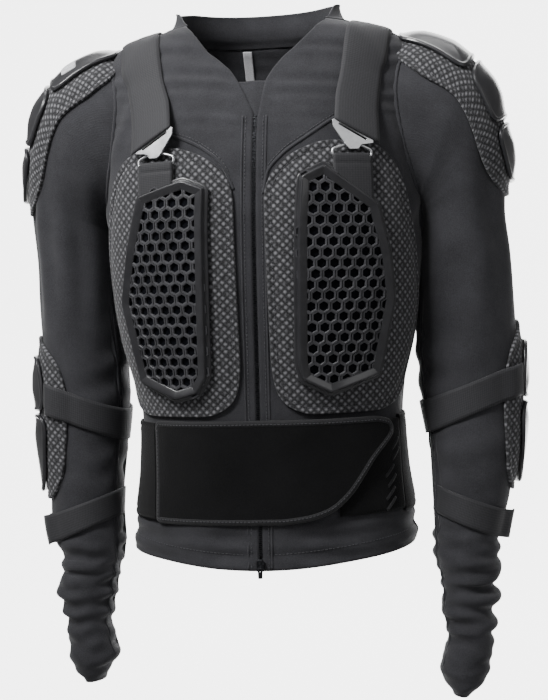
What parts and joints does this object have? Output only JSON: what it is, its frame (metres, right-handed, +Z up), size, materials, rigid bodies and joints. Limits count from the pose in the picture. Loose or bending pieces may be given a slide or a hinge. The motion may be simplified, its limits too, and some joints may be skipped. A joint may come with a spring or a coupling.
{
  "type": "motorcycle armour jacket",
  "caption": "Long-sleeved stretch jacket with hard shoulder, elbow and pierced chest plates on soft pads, buckled shoulder straps and a wide waist belt, in its worn shape.",
  "frame": {"origin": "middle of the neck base, at the height where the jacket sits on the wearer's shoulders", "axes": "+Z up, the chest faces -Y, the wearer's left arm is on +X"},
  "size_m": [0.5396, 0.2448, 0.7216],
  "materials": {
    "jersey": "dull stretch knit",
    "patterned": "dull, dark ground with a light woven diamond pattern",
    "webbing": "dull ribbed webbing",
    "belt_cloth": "deep black brushed pile",
    "binding": "dull folded tape",
    "moulded": "semi-gloss moulded shell",
    "foam": "dull closed-cell foam",
    "steel": "polished",
    "label_cloth": "pale woven tape, bare",
    "dark_metal": "dark enamel"
  },
  "bodies": {
    "root": {"front_panel_right": "jersey", "sleeve_right": "jersey", "cuff_right": "jersey", "chest_pad_right": "patterned", "chest_plate_right": "moulded", "plate_liner_right": "foam", "shoulder_strap_right": "webbing", "buckle_plate_right": "steel", "buckle_ring_right": "steel", "buckle_tab_right": "webbing", "shoulder_pad_right": "patterned", "elbow_pad_right": "patterned", "shoulder_shell_top_right": "moulded", "shoulder_shell_middle_right": "moulded", "shoulder_shell_lower_right": "moulded", "elbow_shell_upper_right": "moulded", "elbow_shell_lower_right": "moulded", "elbow_strap_right": "webbing", "forearm_strap_right": "webbing", "front_panel_left": "jersey", "sleeve_left": "jersey", "cuff_left": "jersey", "chest_pad_left": "patterned", "chest_plate_left": "moulded", "plate_liner_left": "foam", "shoulder_strap_left": "webbing", "buckle_plate_left": "steel", "buckle_ring_left": "steel", "buckle_tab_left": "webbing", "shoulder_pad_left": "patterned", "elbow_pad_left": "patterned", "shoulder_shell_top_left": "moulded", "shoulder_shell_middle_left": "moulded", "shoulder_shell_lower_left": "moulded", "elbow_shell_upper_left": "moulded", "elbow_shell_lower_left": "moulded", "elbow_strap_left": "webbing", "forearm_strap_left": "webbing", "collar": "jersey", "back_panel": "jersey", "belt_flap": "belt_cloth", "belt_piping": "binding", "belt_back": "belt_cloth", "belt_under_flap": "belt_cloth", "zip_garage": "jersey", "zip_chain": "dark_metal", "zip_tape": "webbing", "zip_slider": "dark_metal", "neck_label": "label_cloth"}
  },
  "joints": []
}
